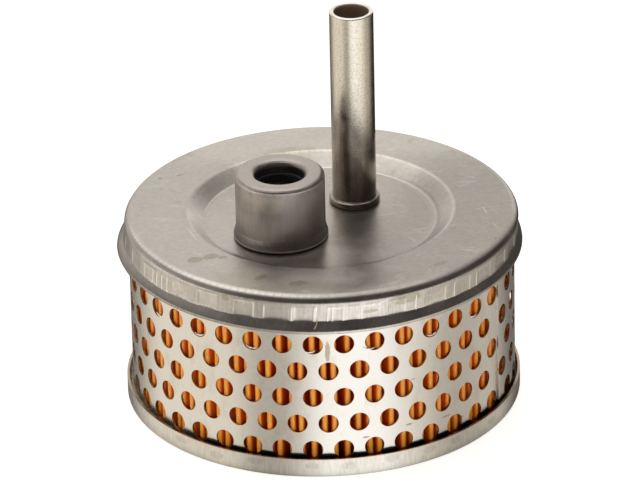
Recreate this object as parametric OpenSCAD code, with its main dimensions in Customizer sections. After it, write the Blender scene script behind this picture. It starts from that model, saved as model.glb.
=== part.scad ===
// Power steering filter element: a pleated paper pack between two pressed steel
// end caps, held in a perforated steel guard, with an inlet boss and a stand pipe
// on the top cap. Millimetres, +Z up, origin at the middle of the bottom face.
// Azimuths run from the front (-Y) towards +X.

/* [Element] */
// Height from the bottom face to the top cap's flat
body_h = 41.9; // [36:0.1:70]
// Thickness of the adhesive bed under each pleat end
potting_t = 2.4; // [1.8:0.1:3.2]

/* [Perforated guard] */
// Outer diameter of the guard, without the lap's outer layer
guard_d = 81.2; // [74:0.2:110]
// Thickness of the guard's sheet
guard_t = 0.4; // [0.3:0.05:0.6]
// Diameter of the guard's holes
hole_d = 4.2; // [3:0.1:4.8]
// Distance between holes in a row, along the sheet
hole_pitch = 6.44; // [6:0.02:9]
// Distance between rows
row_pitch = 6.09; // [5.8:0.01:8]
// Height of the lowest row above the bottom face
first_row_z = 5.93; // [5.8:0.01:8]
// Sideways step from one row to the row above
row_shift = 0.1; // [0:0.05:0.3]
// Azimuth of the guard's lapped edge
lap_azimuth = 63.5; // [50:0.1:80]
// Length of the lap, along the sheet
lap_len = 6; // [4:0.1:8]
// Distance of the nearest holes from the lapped edge, on the side of the front
lap_hole = 2.2; // [1:0.1:3]
// Distance between the holes on either side of the lapped edge
lap_gap = 7.7; // [7:0.1:9]

/* [Centre tube] */
// Thickness of the centre tube's sheet
core_t = 0.5; // [0.4:0.05:0.8]
// Diameter of the centre tube's holes
core_hole_d = 5; // [3:0.1:6]
// Distance between its holes in a row, along the sheet
core_hole_pitch = 9.2; // [8:0.1:14]
// Distance between its rows
core_row_pitch = 7.6; // [7:0.1:10]

/* [Pleated paper] */
// Number of folds that the pack has room for
pleats = 106; // [80:1:110]
// Thickness of the paper
paper_t = 0.5; // [0.35:0.05:0.55]
// Radius of each fold, at the middle of the paper
fold_r = 0.42; // [0.34:0.02:0.46]
// Azimuth of the clipped side seam
clip_azimuth = 180; // [150:1:210]
// Depth of the seam clip
clip_depth = 6.2; // [4:0.1:7]
// Thickness of the clip's sheet
clip_t = 0.35; // [0.25:0.05:0.4]

/* [Top cap] */
// Thickness of the top cap's sheet
cap_t = 0.5; // [0.4:0.1:0.9]
// Gap between the guard's lap and the skirt
cap_fit = 0.05; // [0.05:0.05:0.3]
// Height of the straight skirt below the cap's flat
skirt_h = 5.7; // [4.5:0.1:8]
// How far the flared lip stands out from the skirt
lip_out = 1.3; // [0.8:0.1:2]
// Height of the flared lip
lip_h = 1.8; // [1.2:0.1:2.4]
// Diameter of the well's upper edge
well_d = 56.4; // [54:0.2:58]
// Width of the well's sloped wall
well_slope = 3.5; // [3:0.1:4.5]
// Depth of the well's floor below the cap's flat
well_h = 2.4; // [1.6:0.1:3]
// Width of the small step at the foot of the slope
well_step = 0.7; // [0.5:0.1:1]

/* [Bottom cap] */
// Thickness of the bottom cap's sheet
base_t = 0.5; // [0.4:0.05:0.8]
// Gap between the guard's lap and the bottom cap's rim
base_fit = 0.4; // [0.05:0.05:0.6]
// Height of the bottom cap's rim
base_rim_h = 4.3; // [3.9:0.1:4.8]
// How far the middle of the bottom cap is pushed up
base_lift = 1.8; // [1:0.1:2.4]
// Depth of the squeezed-out adhesive below the rim's edge
squeeze_low = 1.1; // [0.5:0.1:1.4]

/* [Inlet boss] */
// Distance of the boss from the element's axis, to the right
boss_x = -8.3; // [-10:0.1:-8]
// Distance of the boss from the element's axis, to the back
boss_y = -7.4; // [-9:0.1:-7]
// Outer diameter of the boss
boss_d = 18.8; // [17:0.1:19.4]
// Height of the boss above the well's floor
boss_h = 14.5; // [12:0.1:18]
// Thickness of the boss's sheet
boss_t = 0.9; // [0.7:0.1:1.1]
// Diameter of the boss's mouth
mouth_d = 10.4; // [9:0.1:11]
// Depth of the mouth's turned-in collar
mouth_h = 2.6; // [2.3:0.1:3.4]
// How far the foot stands out from the boss's wall
foot_out = 0.52; // [0.3:0.02:0.8]
// Height of the foot's straight edge
foot_h = 0.8; // [0.6:0.1:1.4]
// Height of the hollow flare above that edge
flare_h = 1.7; // [1:0.1:2.5]
// Diameter of the seal's bore
seal_bore_d = 10; // [8.6:0.1:10.2]
// Height of the seal
seal_h = 2.2; // [1.8:0.1:3]
// Thickness of the seal retainer's sheet
retainer_t = 0.6; // [0.5:0.05:0.8]
// Height of the seal retainer's skirt
retainer_h = 3.8; // [3:0.1:5]

/* [Stand pipe] */
// Distance of the pipe from the element's axis, to the right
pipe_x = 7.35; // [7:0.05:9]
// Distance of the pipe from the element's axis, to the back
pipe_y = 8.5; // [8:0.1:10]
// Outer diameter of the pipe
pipe_d = 9.3; // [8:0.1:10]
// Thickness of the pipe's wall
pipe_t = 1; // [0.8:0.05:1.2]
// Height of the pipe above the well's floor
pipe_h = 43.8; // [20:0.1:60]
// How far the bead stands out from the pipe
bead_out = 0.74; // [0.5:0.01:1.2]
// Height of the bead
bead_h = 1.35; // [1:0.05:1.8]
// How far the swaged end spreads under the cap
swage_out = 1.2; // [0.8:0.1:1.6]

/* [Hidden] */
$fn = 96;

hole_facets = 32;      // sides of a perforation in the preview
bend_step = 18;        // largest turn between two points of a round bend, degrees
fold_step = 45;        // the same, for a fold of the paper
edge_gap = 0.6;        // adhesive left under the cut edge of a sheet tube
hole_margin = 0.7;     // sheet left between a hole and the end of the sheet

guard_r = guard_d / 2;
guard_in = guard_r - guard_t;
lap_rise = 0.95 * guard_t;                         // how far the outer layer stands out
lap_r = guard_r + lap_rise;
lap_deg = lap_len / guard_r * 180 / PI;

// Top cap
cap_bend = 1.1;                                    // middle radius of the shoulder bend
cap_in = lap_r + cap_fit;                          // inside radius of the skirt
cap_r = cap_in + cap_t;                            // outside radius of the skirt
cap_under = body_h - cap_t;                        // underside of the cap's flat
cap_in_bend = cap_bend - cap_t / 2;                // inside radius of the shoulder bend
well_r = well_d / 2;
floor_z = body_h - well_h;                         // top of the well's floor
floor_under = floor_z - cap_t;

// Bottom cap
base_bend = 0.45;                                  // middle radius of the rim's bend
base_in = lap_r + base_fit;                        // inside radius of the rim
base_r = base_in + base_t;                         // outside radius of the rim
base_in_bend = base_bend - base_t / 2;

// Heights of the sheet tubes and of the paper
guard_z0 = base_t + max(edge_gap, base_in_bend);
guard_z1 = cap_under - max(edge_gap, cap_in_bend);
core_z0 = base_t + edge_gap;
core_z1 = cap_under - edge_gap;
paper_z0 = base_t + potting_t;
paper_z1 = cap_under - potting_t;
paper_h = paper_z1 - paper_z0;

// Centre tube, which sits round the wells of both caps
core_in = well_r + cap_t + 0.2;
core_r = core_in + core_t;

// Folded paper
paper_out = guard_in - 0.1;                        // outermost reach of the folds
paper_in = core_r + 0.1;                           // innermost reach of the folds
fold_out_r = paper_out - paper_t / 2 - fold_r;     // centres of the outer folds
fold_in_r = paper_in + paper_t / 2 + fold_r;       // centres of the inner folds
pleat_deg = 360 / pleats;
flap_side = paper_t / 2 + 0.05;                    // middle of an end flap beside the seam
clip_side = flap_side + paper_t / 2 + clip_t / 2;  // middle of the clip's leg

// Boss
boss_r = boss_d / 2;
boss_in = boss_r - boss_t;
boss_top = floor_z + boss_h;
mouth_r = mouth_d / 2;
seal_top = boss_top - mouth_h;
seal_z = seal_top - seal_h;
port_r = boss_in - 0.6;                            // opening in the cap under the boss

// Stand pipe
pipe_r = pipe_d / 2;
pipe_in = pipe_r - pipe_t;
pipe_top = floor_z + pipe_h;

/* Outline helpers */

function unit(v) = v / norm(v);
function polar(r, a) = [r * cos(a), r * sin(a)];

// Points of the round bend of radius r that replaces corner b between a and c
function bend(a, b, c, r) =
    r <= 0 ? [b] :
    let (u = unit(a - b), w = unit(c - b), half = acos(u * w) / 2,
         centre = b + unit(u + w) * r / sin(half),
         from = b + u * r / tan(half), to = b + w * r / tan(half),
         a0 = atan2(from.y - centre.y, from.x - centre.x),
         a1 = atan2(to.y - centre.y, to.x - centre.x),
         turn = (a1 - a0 + 540) % 360 - 180,
         steps = max(2, ceil(abs(turn) / bend_step)))
    [for (i = [0:steps]) centre + polar(r, a0 + turn * i / steps)];

// An open line through [r, z, bend radius] corners, with its bends made round
function rounded_line(c) =
    let (n = len(c))
    [for (i = [0:n - 1], p = (i == 0 || i == n - 1) ? [[c[i].x, c[i].y]]
         : bend([c[i - 1].x, c[i - 1].y], [c[i].x, c[i].y], [c[i + 1].x, c[i + 1].y], c[i].z)) p];

// A closed outline through [r, z, bend radius] corners
function rounded_loop(c) =
    let (n = len(c))
    [for (i = [0:n - 1], p = bend([c[(i + n - 1) % n].x, c[(i + n - 1) % n].y], [c[i].x, c[i].y],
                                  [c[(i + 1) % n].x, c[(i + 1) % n].y], c[i].z)) p];

// Mitred normal of line p at point i
function line_normal(p, i) =
    let (n = len(p),
         before = unit(i > 0 ? p[i] - p[i - 1] : p[1] - p[0]),
         after = unit(i < n - 1 ? p[i + 1] - p[i] : p[n - 1] - p[n - 2]),
         side = [-before.y, before.x],
         mid = unit(side + [-after.y, after.x]))
    mid / (mid * side);

// Outline of a sheet of thickness t whose middle follows line p
function sheet_outline(p, t) =
    let (n = len(p))
    concat([for (i = [0:n - 1]) p[i] + line_normal(p, i) * t / 2],
           [for (i = [n - 1:-1:0]) p[i] - line_normal(p, i) * t / 2]);

// A pressed sheet part turned about the Z axis
module turned_sheet(corners, t) {
    rotate_extrude() polygon(sheet_outline(rounded_line(corners), t));
}

// A solid ring turned about the Z axis
module turned_ring(corners) {
    rotate_extrude() polygon(rounded_loop(corners));
}

// Turns +X to the given azimuth
module at_azimuth(a) {
    rotate([0, 0, a - 90]) children();
}

/* Perforated sheet tubes */

// A straight radial drill for one hole through a sheet of radius r
module hole_drill(r, d) {
    translate([r - 1.5, 0, 0]) rotate([0, 90, 0]) cylinder(h = 3, d = d, $fn = hole_facets);
}

// The guard's sheet before it is perforated: a round wall whose outer end leaves it
// over a quarter turn and lies on the inner end as a lap. The two arcs share one degree,
// where the outer one starts a hundredth of a millimetre further out
module guard_sheet() {
    start_r = guard_r + 0.01;
    offset_c = (lap_r * lap_r - start_r * start_r) / start_r / 2;
    quarter = atan2(lap_r, offset_c);
    h = guard_z1 - guard_z0;
    intersection() {
        at_azimuth(lap_azimuth + 90) {
            rotate([0, 0, -1]) rotate_extrude(angle = 271 + lap_deg)
                translate([guard_in, guard_z0 - 1]) square([guard_t, h + 2]);
            translate([-offset_c, 0, 0]) rotate([0, 0, -quarter]) rotate_extrude(angle = quarter)
                translate([start_r - guard_t + offset_c, guard_z0 - 1]) square([guard_t, h + 2]);
        }
        translate([0, 0, guard_z0]) cylinder(h = h, r = guard_r + 3);
    }
}

// Azimuth, from the lapped edge backwards, of the guard's column k: the pitch is kept
// over the front, and the back is spaced evenly to close the ring
function column(k) =
    let (step = hole_pitch / guard_r * 180 / PI,
         whole = 360 - lap_gap / guard_r * 180 / PI,
         count = round(whole / step),
         front = floor(150 / step))
    -(k <= front ? k * step
      : front * step + (k - front) * (whole - front * step) / (count - front));

module guard_holes() {
    rows = floor((guard_z1 - hole_d / 2 - hole_margin - first_row_z) / row_pitch);
    columns = round((360 - lap_gap / guard_r * 180 / PI) / (hole_pitch / guard_r * 180 / PI));
    near = lap_azimuth - lap_hole / guard_r * 180 / PI;
    for (j = [0:rows], k = [0:columns])
        at_azimuth(near + (column(k) + column(k + j % 2)) / 2
                   + (j - rows / 2) * row_shift / guard_r * 180 / PI)
            translate([0, 0, first_row_z + j * row_pitch]) hole_drill(guard_r, hole_d);
}

module outer_guard() {
    color("gainsboro") difference() {
        guard_sheet();
        guard_holes();
    }
}

module centre_tube() {
    span = core_z1 - core_z0;
    rows = floor((span - core_hole_d - 6) / core_row_pitch);
    first = (core_z0 + core_z1 - rows * core_row_pitch) / 2;
    columns = floor(2 * PI * core_r / core_hole_pitch);
    color("silver") difference() {
        rotate_extrude() translate([core_in, core_z0]) square([core_t, span]);
        for (j = [0:rows], k = [1:columns])
            at_azimuth((k + j % 2 / 2) * 360 / columns)
                translate([0, 0, first + j * core_row_pitch]) hole_drill(core_r, core_hole_d);
    }
}

/* Paper and its side seam */

// Middle line of one outer fold and of the inner fold after it, round azimuth a
function fold_pair(a) =
    concat([for (i = [-90:fold_step:90]) polar(fold_out_r, a) + polar(fold_r, a + i)],
           inner_fold(a + pleat_deg / 2));
function inner_fold(a) =
    [for (i = [-90:fold_step:90]) polar(fold_in_r, a) + polar(fold_r, a + 180 - i)];

// An end flap, straight through the clip, on one side (-1 or 1) of the seam at angle 0
function flap(side) =
    [for (r = [paper_out - clip_t, paper_out - clip_depth - 0.5]) [r, side * flap_side]];

module pleated_media() {
    last = flap(-1);
    middle = concat(flap(1), inner_fold(pleat_deg / 2),
                    [for (k = [1:pleats - 1], p = fold_pair(k * pleat_deg)) p], [last[1], last[0]]);
    color("darkorange") at_azimuth(clip_azimuth) translate([0, 0, paper_z0])
        linear_extrude(paper_h) polygon(sheet_outline(middle, paper_t));
}

module media_seam_clip() {
    bridge = paper_out - clip_t / 2;
    middle = [[paper_out - clip_depth, -clip_side], [bridge, -clip_side],
              [bridge, clip_side], [paper_out - clip_depth, clip_side]];
    color("lightgray") at_azimuth(clip_azimuth) translate([0, 0, paper_z0])
        linear_extrude(paper_h) polygon(sheet_outline(middle, clip_t));
}

/* Adhesive beds, which hold the sheet tubes and the paper in the caps */

module top_potting() {
    shoulder = cap_in_bend + 0.1;
    color("darkkhaki") difference() {
        turned_ring([[core_in, cap_under, 0], [cap_in - shoulder, cap_under, 0],
                     [cap_in, cap_under - shoulder, 0], [cap_in, paper_z1, 0],
                     [core_r, paper_z1, 0], [core_r, core_z1, 0], [core_in, core_z1, 0]]);
        guard_sheet();
    }
}

module bottom_potting() {
    squeezed_z = base_rim_h - squeeze_low;
    shoulder = base_in_bend + 0.1;
    in_sheet = guard_r - (guard_t - lap_rise) / 2;     // a radius inside the sheet all round
    color("darkkhaki") difference() {
        turned_ring([[core_in, base_t, 0], [base_in - shoulder, base_t, 0],
                     [base_in, base_t + shoulder, 0], [base_in, squeezed_z - 0.2, 0],
                     [in_sheet, squeezed_z, 0], [in_sheet, paper_z0, 0], [core_r, paper_z0, 0],
                     [core_r, core_z0, 0], [core_in, core_z0, 0]]);
        guard_sheet();
    }
}

/* End caps */

module bottom_cap() {
    side = base_r - base_t / 2;
    well = well_r;
    color("darkgray") turned_sheet([[side, base_rim_h, 0], [side, base_t / 2, base_bend],
                                    [well, base_t / 2, 1], [well - 3, base_t / 2 + base_lift, 1],
                                    [0, base_t / 2 + base_lift, 0]], base_t);
}

module top_cap() {
    side = cap_r - cap_t / 2;
    top = body_h - cap_t / 2;
    low = floor_z - cap_t / 2;
    lip_root = body_h - skirt_h;
    color("darkgray") difference() {
        turned_sheet([[side + lip_out, lip_root - lip_h, 0], [side, lip_root, 1],
                      [side, top, cap_bend], [well_r, top, 1.8],
                      [well_r - well_slope, low + 0.3, 0.6],
                      [well_r - well_slope - well_step, low, 0.6], [0, low, 0]], cap_t);
        translate([boss_x, boss_y, floor_under - 1]) cylinder(h = cap_t + 2, r = port_r);
        translate([pipe_x, pipe_y, floor_under - 1]) cylinder(h = cap_t + 2, r = pipe_r);
    }
}

/* Fittings on the top cap */

module inlet_boss() {
    wall = boss_r - boss_t / 2;
    foot = wall + foot_out;
    collar = mouth_r + boss_t / 2;
    top = boss_top - boss_t / 2;
    color("dimgray") translate([boss_x, boss_y, 0])
        turned_sheet([[foot, floor_z, 0], [foot, floor_z + foot_h, 0.5],
                      [wall, floor_z + foot_h + flare_h, 5], [wall, top, 0.6],
                      [collar, top, 0.85], [collar, seal_top, 0]], boss_t);
}

module inlet_seal() {
    bore = seal_bore_d / 2;
    color("black") translate([boss_x, boss_y, 0])
        turned_ring([[bore, seal_z, 0.4], [boss_in, seal_z, 0.2], [boss_in, seal_top, 0.5],
                     [bore, seal_top, 0.6]]);
}

module seal_retainer() {
    side = boss_in - retainer_t / 2;
    top = seal_z - retainer_t / 2;
    color("silver") translate([boss_x, boss_y, 0])
        turned_sheet([[side, seal_z - retainer_h, 0], [side, top, 0.5],
                      [mouth_r + 0.2, top, 0]], retainer_t);
}

module stand_pipe() {
    rim = 0.35 * pipe_t;
    swage_z = floor_under - pipe_t;
    bead_r = pipe_r + bead_out;
    color("rosybrown") translate([pipe_x, pipe_y, 0])
        turned_ring([[pipe_in, pipe_top, rim], [pipe_in, swage_z, 0.4],
                     [pipe_r + swage_out, swage_z, 0.2], [pipe_r + swage_out, floor_under, 0.2],
                     [pipe_r, floor_under, 0], [pipe_r, floor_z, 0],
                     [bead_r, floor_z, 0.3], [bead_r, floor_z + bead_h, 0.5],
                     [pipe_r, floor_z + bead_h, 0.1], [pipe_r, pipe_top, rim]]);
}

bottom_cap();
bottom_potting();
outer_guard();
pleated_media();
media_seam_clip();
centre_tube();
top_potting();
top_cap();
inlet_boss();
inlet_seal();
seal_retainer();
stand_pipe();
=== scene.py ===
# %% [markdown]
# # A power steering filter on a studio table
# The part is a round oil filter element: pleated orange paper behind a perforated tin
# guard, closed by two pressed steel caps. A drawn inlet boss and a tall stand pipe rise
# from the top cap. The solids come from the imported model. This lesson adds what a camera
# sees from near by: the finish of each metal, the crimped skirt, finer paper folds, burrs,
# adhesive, stains and scratches.

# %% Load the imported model
import math
import random

import bmesh
import bpy
from mathutils import Matrix, Vector


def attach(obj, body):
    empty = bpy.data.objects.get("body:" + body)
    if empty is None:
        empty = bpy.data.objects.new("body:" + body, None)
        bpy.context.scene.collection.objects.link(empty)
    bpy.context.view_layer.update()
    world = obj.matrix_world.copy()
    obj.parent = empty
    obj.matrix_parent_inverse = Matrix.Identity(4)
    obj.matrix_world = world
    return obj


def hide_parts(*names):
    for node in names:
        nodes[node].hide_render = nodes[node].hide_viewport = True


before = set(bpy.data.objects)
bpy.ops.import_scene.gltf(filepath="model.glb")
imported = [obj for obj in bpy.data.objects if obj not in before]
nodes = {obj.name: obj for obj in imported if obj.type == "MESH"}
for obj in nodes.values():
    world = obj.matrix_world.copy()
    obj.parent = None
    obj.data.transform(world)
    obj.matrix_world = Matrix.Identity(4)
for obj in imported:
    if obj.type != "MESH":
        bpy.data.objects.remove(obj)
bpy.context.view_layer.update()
MM = 0.001
TOP, FLOOR = 41.9, 39.5                 # heights of the top cap's flat and of its well's floor
GUARD_R, SKIRT_R, RIM_R = 40.6, 41.5, 41.9      # outside radii of guard, skirt and bottom rim
BOSS_AT, PIPE_AT = (-8.3, -7.4), (7.35, 8.5)
print("nodes:", sorted(nodes))


def add_object(name, data):
    """A new object in the scene."""
    made = bpy.data.objects.new(name, data)
    bpy.context.scene.collection.objects.link(made)
    return made


# %% [markdown]
# ## Camera
# The photograph was taken with a long lens, a little over a metre away and 26 degrees above
# the table, and the element leans a touch to the left in it. The numbers were fitted to the
# rows of holes and to the rims of both caps. The camera is placed by its three axes, because
# a turn about the line of sight is simple to add that way.

# %% Place the camera
FRAME = (640, 480)                      # pixels of the picture
SENSOR = 36                             # mm
FOCAL_PX = 5720.3                       # focal length in pixels of the picture
DISTANCE = 1209.2                       # mm from the camera to the aiming point
ELEVATION = 0.46082                     # radians above the horizon
LEAN = -0.02182                         # radians about the line of sight
AIM_PX = (321.2, 256.8)                 # where the aiming point lies in the picture
AIM = Vector((0, 0, 30.28))

forward = Vector((0, math.cos(ELEVATION), -math.sin(ELEVATION)))
upward = Vector((0, math.sin(ELEVATION), math.cos(ELEVATION)))
across = Vector((1, 0, 0)) * math.cos(LEAN) + upward * math.sin(LEAN)
above = Vector((-1, 0, 0)) * math.sin(LEAN) + upward * math.cos(LEAN)
place = (AIM - forward * DISTANCE
         - across * (AIM_PX[0] - FRAME[0] / 2) * DISTANCE / FOCAL_PX
         + above * (AIM_PX[1] - FRAME[1] / 2) * DISTANCE / FOCAL_PX) * MM

camera_data = bpy.data.cameras.new("camera")
camera_data.sensor_width = SENSOR
camera_data.lens = FOCAL_PX * SENSOR / FRAME[0]
camera_data.clip_start = 0.05
camera_data.clip_end = 50
camera = add_object("camera", camera_data)
turn = Matrix((across, above, -forward)).transposed().to_4x4()
camera.matrix_world = Matrix.Translation(place) @ turn
bpy.context.scene.camera = camera
print("camera at", [round(v, 3) for v in place], "lens", round(camera_data.lens, 1))


# %% [markdown]
# ## Writing shader trees in few words
# Every material below is a tree of nodes, and so is the sky. The tree that is being built is
# always called tree, and all these helpers add to it. One makes a node and wires or sets its
# inputs, several do arithmetic, one gives coordinates in millimetres, so that every scale can
# be read as a real size, and the last ones lay stains, painted highlights and painted shade
# over a colour or change its brightness where a mask is.

# %% Arithmetic in a tree
def put(kind, values=None, **settings):
    """Makes a node; each value is wired if it is a socket and set if it is a number."""
    made = tree.nodes.new(kind)
    for key, value in settings.items():
        setattr(made, key, value)
    for key, value in (values or {}).items():
        if isinstance(value, bpy.types.NodeSocket):
            tree.links.new(value, made.inputs[key])
        else:
            made.inputs[key].default_value = value
    return made


def calc(operation, *values, clamp=False):
    """One arithmetic step."""
    return put("ShaderNodeMath", dict(enumerate(values)), operation=operation,
               use_clamp=clamp).outputs[0]


def times(first, *others):
    """The product of two or more values."""
    for other in others:
        first = calc("MULTIPLY", first, other)
    return first


def plus(first, *others):
    """The sum of two or more values."""
    for other in others:
        first = calc("ADD", first, other)
    return first


def minus(a, b):
    """The difference of two values."""
    return calc("SUBTRACT", a, b)


def vec(operation, a, b):
    """One step of vector arithmetic."""
    return put("ShaderNodeVectorMath", {0: a, 1: b}, operation=operation).outputs[0]


def scaled(vector, amount):
    """A vector or a colour times a number."""
    vector = vector if isinstance(vector, bpy.types.NodeSocket) else vector[:3]
    return put("ShaderNodeVectorMath", {0: vector, 3: amount}, operation="SCALE").outputs[0]


def gauge(operation, *vectors):
    """A number taken from one or two vectors, such as a length or a dot product."""
    return put("ShaderNodeVectorMath", dict(enumerate(vectors)),
               operation=operation).outputs["Value"]


def ramp(value, low, high, to_low=0.0, to_high=1.0):
    """A smooth step from to_low to to_high as value goes from low to high."""
    return put("ShaderNodeMapRange", {0: value, 1: low, 2: high, 3: to_low, 4: to_high},
               interpolation_type="SMOOTHSTEP").outputs[0]


def band(value, rise_from, rise_to, fall_from, fall_to):
    """1 between rise_to and fall_from, with a smooth step on either side."""
    return times(ramp(value, rise_from, rise_to), ramp(value, fall_from, fall_to, 1.0, 0.0))


def noise(where, scale, detail=2.0, rough=0.5):
    """Soft random values round 0.5."""
    return put("ShaderNodeTexNoise", {"Vector": where, "Scale": scale, "Detail": detail,
                                      "Roughness": rough}).outputs[0]


def streaky(where, scales, detail, rough):
    """Noise with a scale for each axis, drawn out along the axis with the smallest."""
    return noise(vec("MULTIPLY", where, scales), 1.0, detail, rough)


def millimetres():
    """The piece's own coordinates in millimetres: the vector and its three parts."""
    where = scaled(put("ShaderNodeTexCoord").outputs["Object"], 1 / MM)
    parts = put("ShaderNodeSeparateXYZ", {0: where}).outputs
    return where, parts[0], parts[1], parts[2]


# %% Finishes and colours
def finish_tree(name):
    """A new material and its surface shader. Its tree becomes the one that is being built."""
    global tree
    material = bpy.data.materials.new(name)
    material.use_nodes = True
    tree = material.node_tree
    return material, tree.nodes["Principled BSDF"]


def wire(surface, **values):
    """Wires or sets inputs of the surface shader by name."""
    for key, value in values.items():
        socket = surface.inputs[key.replace("_", " ")]
        if isinstance(value, bpy.types.NodeSocket):
            tree.links.new(value, socket)
        else:
            socket.default_value = value


def bumps(height, size_mm):
    """A bump from a height between 0 and 1, size_mm high."""
    return put("ShaderNodeBump", {"Height": height, "Distance": size_mm * MM}).outputs[0]


def blend(share, a, b):
    """Mixes two colours."""
    return put("ShaderNodeMix", {0: share, 6: a, 7: b}, data_type="RGBA").outputs[2]


def overlaid(colour, *layers):
    """The colour under layers: stains, painted highlights and painted shade. Each layer has a
    mask, a strength and a colour.
    """
    for mask, strength, stain in layers:
        colour = blend(times(mask, strength), colour, stain)
    return colour


def lighter(colour, mask, share):
    """The colour made lighter where a mask is, or darker if the share is below 0."""
    return scaled(colour, plus(1.0, times(mask, share)))


def dress(piece, material):
    """Gives a CAD node, or a new piece, one material."""
    if not piece.material_slots:
        piece.data.materials.append(material)
    for slot in piece.material_slots:
        slot.material = material


# %% [markdown]
# ## Sky, table and lamps
# Sheet metal is mostly a picture of the room. Seen from this camera the flats of the filter
# mirror the backdrop behind it, its rounded shoulder mirrors the ceiling, its flared lip
# mirrors what is above the camera, and every upright wall mirrors the table round its foot.
# In the photograph the backdrop and the ceiling are pale, the front of the room is dark, and
# the white table lies in pools of light: a bright one in front and a wide one on the left.
# So the room is a sky with a dark front and a dark right side, and the pools belong to the
# table. They show in the metal only: the camera sees an even white table.

# %% World with a dark front
world = bpy.data.worlds.new("room")
bpy.context.scene.world = world
world.use_nodes = True
tree = world.node_tree
towards = put("ShaderNodeTexCoord").outputs["Generated"]


def facing(direction, low, high, most=1.0):
    """How much a part of the sky lies towards a direction, as a smooth step up to most."""
    return ramp(gauge("DOT_PRODUCT", towards, direction), low, high, 0.0, most)


dark_front = facing((0.10, -0.97, 0.20), 0.15, 0.60)
dark_right = facing((0.98, 0.18, 0.05), 0.66, 0.80, 0.97)
dim_left = facing((-0.90, 0.22, 0.36), 0.55, 0.92, 0.22)
backdrop = facing((-0.25, 0.94, 0.22), 0.45, 1.00, 0.52)
window = facing((0.41, 0.89, 0.17), 0.93, 0.99, 0.55)       # pale, on the back right
dark = calc("MAXIMUM", times(calc("MAXIMUM", dark_front, dark_right), 0.88), dim_left)
light = times(plus(0.58, window, backdrop), minus(1.0, dark))
shade = scaled(blend(dark, (1, 0.96, 0.92, 1), (1, 0.86, 0.89, 1)), light)
background = tree.nodes["Background"]
tree.links.new(shade, background.inputs["Color"])
background.inputs["Strength"].default_value = 1.0
print("world: pale backdrop and ceiling, dark front and right side")

# %% White table with pools of light
TABLE_Z = -0.00003                      # metres, a hair below the bottom cap's face
WALL_R = 41.0                           # mean radius of the upright walls, mm
bpy.ops.mesh.primitive_circle_add(vertices=96, radius=8, fill_type="NGON",
                                  location=(0, 0, TABLE_Z))
table = bpy.context.object
table.name = "table"
paint, surface = finish_tree("white_table")
seen = put("ShaderNodeLightPath").outputs
mirrored = calc("MAXIMUM", seen["Is Glossy Ray"], seen["Is Transmission Ray"])
where, x, y, z = millimetres()
around = calc("ARCTAN2", x, times(y, -1.0))
reach = gauge("LENGTH", where)
ratio = calc("MINIMUM", calc("DIVIDE", WALL_R, reach), 1.0)
wall = calc("DIVIDE", around, minus(2.0, ratio))
for _ in range(2):                      # a ray leaves the wall at twice the wall's azimuth
    bent = calc("ARCSINE", times(ratio, calc("SINE", wall)))
    wall = times(plus(around, bent), 0.5)
wall = times(wall, 180 / math.pi)


def pool(rise_from, rise_to, fall_from, fall_to, strength):
    """A pool of light between two azimuths of the wall that mirrors it."""
    return times(band(wall, rise_from, rise_to, fall_from, fall_to), strength)


front = pool(-14, 3, 14, 35, 1.26)
glow = plus(0.23, pool(-80, -64, 60, 74, 0.60), pool(-69, -56, -30, -18, 0.62),
            pool(48, 55, 59, 66, 0.14), front, pool(22, 28, 31, 40, 0.26))
tall = times(pool(18, 28, 37, 46, 0.50), ramp(reach, 108, 135))        # for the pipe
glow = times(plus(glow, tall), ramp(reach, 42, 45, 0.6, 1.0))
far_right = times(ramp(reach, 105, 125), ramp(wall, 48, 66))
glow = times(glow, minus(1.0, times(far_right, 0.8)))
not_right = ramp(calc("DIVIDE", x, reach), 0.64, 0.50)
far_off = times(ramp(reach, 190, 380, 0.0, 0.85), not_right)
glow = calc("MAXIMUM", glow, far_off)
warm = blend(calc("MULTIPLY", front, 0.9, clamp=True), (1, 0.947, 0.85, 1), (1, 1, 1, 1))
wire(surface, Base_Color=(0.56, 0.553, 0.54, 1), Roughness=0.9, Specular_IOR_Level=0.0,
     Emission_Color=(1, 0.985, 0.96, 1), Emission_Strength=times(seen["Is Camera Ray"], 0.76))
pools = put("ShaderNodeEmission", {"Color": warm, "Strength": glow}).outputs[0]
both = put("ShaderNodeMixShader", {0: mirrored, 1: surface.outputs[0], 2: pools})
tree.links.new(both.outputs[0], tree.nodes["Material Output"].inputs["Surface"])
table.data.materials.append(paint)


# %% Lamps
def soft_lamp(name, where, aim, size, watts, colour=(1, 0.98, 0.95)):
    """A soft area lamp at a place in metres, turned to its aim."""
    data = bpy.data.lights.new(name, "AREA")
    data.shape = "RECTANGLE"
    data.size, data.size_y = size
    data.energy = watts
    data.color = colour
    lamp = add_object(name, data)
    lamp.location = where
    lamp.rotation_euler = (Vector(aim) - Vector(where)).to_track_quat("-Z", "Y").to_euler()
    return lamp


soft_lamp("ceiling", (-0.10, 0.12, 0.78), (0, 0, 0.03), (1.05, 0.90), 3.2)
for_paper = soft_lamp("for_paper", (0, -0.45, 0.11), (0, 0, 0.02), (2.0, 0.08), 3.4,
                      (1, 0.96, 0.90))
for_paper.visible_glossy = False        # it reaches into the holes without a glint on metal
for_paper.visible_camera = False
soft_lamp("edge_light", (-0.55, -0.14, 0.07), (0, 0, 0.04), (0.75, 0.07), 0.55)
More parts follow.
